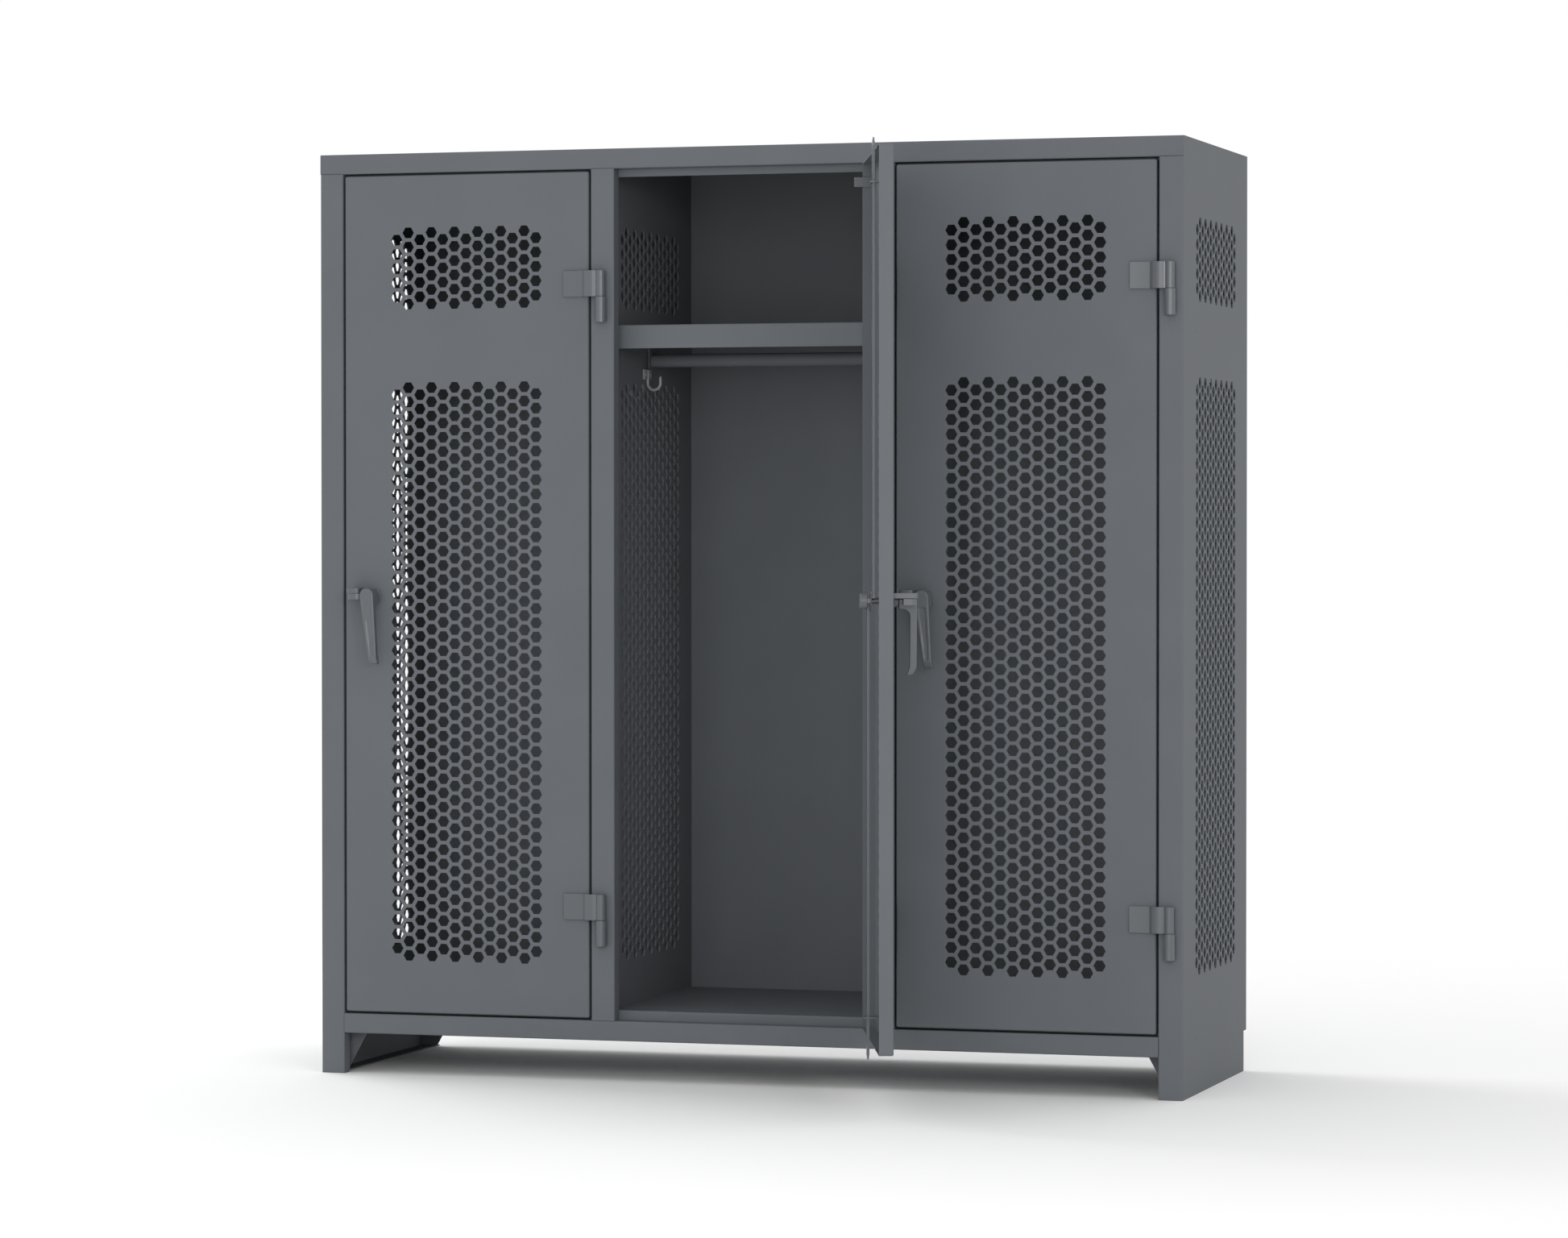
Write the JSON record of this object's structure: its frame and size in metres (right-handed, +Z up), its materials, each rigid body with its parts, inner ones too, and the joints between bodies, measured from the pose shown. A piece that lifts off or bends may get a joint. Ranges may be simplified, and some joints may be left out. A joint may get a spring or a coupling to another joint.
{
  "type": "ventilated locker",
  "caption": "Welded steel wardrobe locker with side-by-side bays, hexagon-vented doors and sides, lever latches, shelves, hanging rods and coat hooks.",
  "frame": {"origin": "on the floor, in the middle of the four anchor holes, which is the middle of the locker's width and depth", "axes": "+Z up, +X to the right as seen from the front, +Y to the back"},
  "size_m": [1.8288, 1.1632, 1.905],
  "materials": {
    "grey_powder_coat": "satin",
    "dark_steel": "satin"
  },
  "bodies": {
    "carcass": {"left_side_panel": "grey_powder_coat", "right_side_panel": "grey_powder_coat", "left_divider": "grey_powder_coat", "right_divider": "grey_powder_coat", "left_divider_stile": "grey_powder_coat", "right_divider_stile": "grey_powder_coat", "top_panel": "grey_powder_coat", "bottom_rail": "grey_powder_coat", "floor_panel": "grey_powder_coat", "back_panel": "grey_powder_coat", "foot_gussets": "grey_powder_coat", "rod_brackets": "grey_powder_coat", "coat_hooks": "grey_powder_coat", "hinge_barrels": "grey_powder_coat", "hinge_pins": "dark_steel", "left_shelf": "grey_powder_coat", "centre_shelf": "grey_powder_coat", "right_shelf": "grey_powder_coat", "left_hanging_rod": "grey_powder_coat", "centre_hanging_rod": "grey_powder_coat", "right_hanging_rod": "grey_powder_coat"},
    "left_door_body": {"left_door": "grey_powder_coat", "left_hinge_leaves": "grey_powder_coat", "left_handle_base": "grey_powder_coat", "left_padlock_hasp": "grey_powder_coat", "left_bolt_guides": "grey_powder_coat", "left_door_lug": "grey_powder_coat"},
    "left_lever_body": {"left_lever": "grey_powder_coat", "left_spindle": "dark_steel", "left_latch_cam": "grey_powder_coat"},
    "left_upper_bolt_body": {"left_upper_bolt": "grey_powder_coat"},
    "left_lower_bolt_body": {"left_lower_bolt": "grey_powder_coat"},
    "centre_door_body": {"centre_door": "grey_powder_coat", "centre_hinge_leaves": "grey_powder_coat", "centre_handle_base": "grey_powder_coat", "centre_padlock_hasp": "grey_powder_coat", "centre_bolt_guides": "grey_powder_coat", "centre_door_lug": "grey_powder_coat"},
    "centre_lever_body": {"centre_lever": "grey_powder_coat", "centre_spindle": "dark_steel", "centre_latch_cam": "grey_powder_coat"},
    "centre_upper_bolt_body": {"centre_upper_bolt": "grey_powder_coat"},
    "centre_lower_bolt_body": {"centre_lower_bolt": "grey_powder_coat"},
    "right_door_body": {"right_door": "grey_powder_coat", "right_hinge_leaves": "grey_powder_coat", "right_handle_base": "grey_powder_coat", "right_padlock_hasp": "grey_powder_coat", "right_bolt_guides": "grey_powder_coat", "right_door_lug": "grey_powder_coat"},
    "right_lever_body": {"right_lever": "grey_powder_coat", "right_spindle": "dark_steel", "right_latch_cam": "grey_powder_coat"},
    "right_upper_bolt_body": {"right_upper_bolt": "grey_powder_coat"},
    "right_lower_bolt_body": {"right_lower_bolt": "grey_powder_coat"}
  },
  "joints": [
    {"name": "left_door_swing", "type": "hinge", "parent": "carcass", "child": "left_door_body", "pos_m": [-0.29647, -0.3148, 0.97], "axis": [0, 0, 1], "range_deg": [0, 140]},
    {"name": "left_lever_turn", "type": "hinge", "parent": "left_door_body", "child": "left_lever_body", "pos_m": [-0.79564, -0.3048, 0.993], "axis": [0, -1, 0], "range_deg": [0, 90]},
    {"name": "left_upper_bolt_slide", "type": "slide", "parent": "left_door_body", "child": "left_upper_bolt_body", "axis": [0, 0, -1], "range_m": [0, 0.0297]},
    {"name": "left_lower_bolt_slide", "type": "slide", "parent": "left_door_body", "child": "left_lower_bolt_body", "axis": [0, 0, 1], "range_m": [0, 0.0297]},
    {"name": "centre_door_swing", "type": "hinge", "parent": "carcass", "child": "centre_door_body", "pos_m": [0.29647, -0.3148, 0.97], "axis": [0, 0, 1], "range_deg": [-109.5, 30.5]},
    {"name": "centre_lever_turn", "type": "hinge", "parent": "centre_door_body", "child": "centre_lever_body", "pos_m": [0.45367, -0.78868, 0.993], "axis": [0.9426, 0.3338, 0], "range_deg": [0, 90]},
    {"name": "centre_upper_bolt_slide", "type": "slide", "parent": "centre_door_body", "child": "centre_upper_bolt_body", "axis": [0, 0, -1], "range_m": [0, 0.0297]},
    {"name": "centre_lower_bolt_slide", "type": "slide", "parent": "centre_door_body", "child": "centre_lower_bolt_body", "axis": [0, 0, 1], "range_m": [0, 0.0297]},
    {"name": "right_door_swing", "type": "hinge", "parent": "carcass", "child": "right_door_body", "pos_m": [0.8894, -0.3148, 0.97], "axis": [0, 0, 1], "range_deg": [0, 140]},
    {"name": "right_lever_turn", "type": "hinge", "parent": "right_door_body", "child": "right_lever_body", "pos_m": [0.39023, -0.3048, 0.993], "axis": [0, -1, 0], "range_deg": [0, 90]},
    {"name": "right_upper_bolt_slide", "type": "slide", "parent": "right_door_body", "child": "right_upper_bolt_body", "axis": [0, 0, -1], "range_m": [0, 0.0297]},
    {"name": "right_lower_bolt_slide", "type": "slide", "parent": "right_door_body", "child": "right_lower_bolt_body", "axis": [0, 0, 1], "range_m": [0, 0.0297]}
  ],
  "couplings": [
    {"joint": "left_upper_bolt_slide", "follows": "left_lever_turn", "m_per_rad": 0.018907},
    {"joint": "left_lower_bolt_slide", "follows": "left_lever_turn", "m_per_rad": 0.018907},
    {"joint": "centre_upper_bolt_slide", "follows": "centre_lever_turn", "m_per_rad": 0.018907},
    {"joint": "centre_lower_bolt_slide", "follows": "centre_lever_turn", "m_per_rad": 0.018907},
    {"joint": "right_upper_bolt_slide", "follows": "right_lever_turn", "m_per_rad": 0.018907},
    {"joint": "right_lower_bolt_slide", "follows": "right_lever_turn", "m_per_rad": 0.018907}
  ]
}
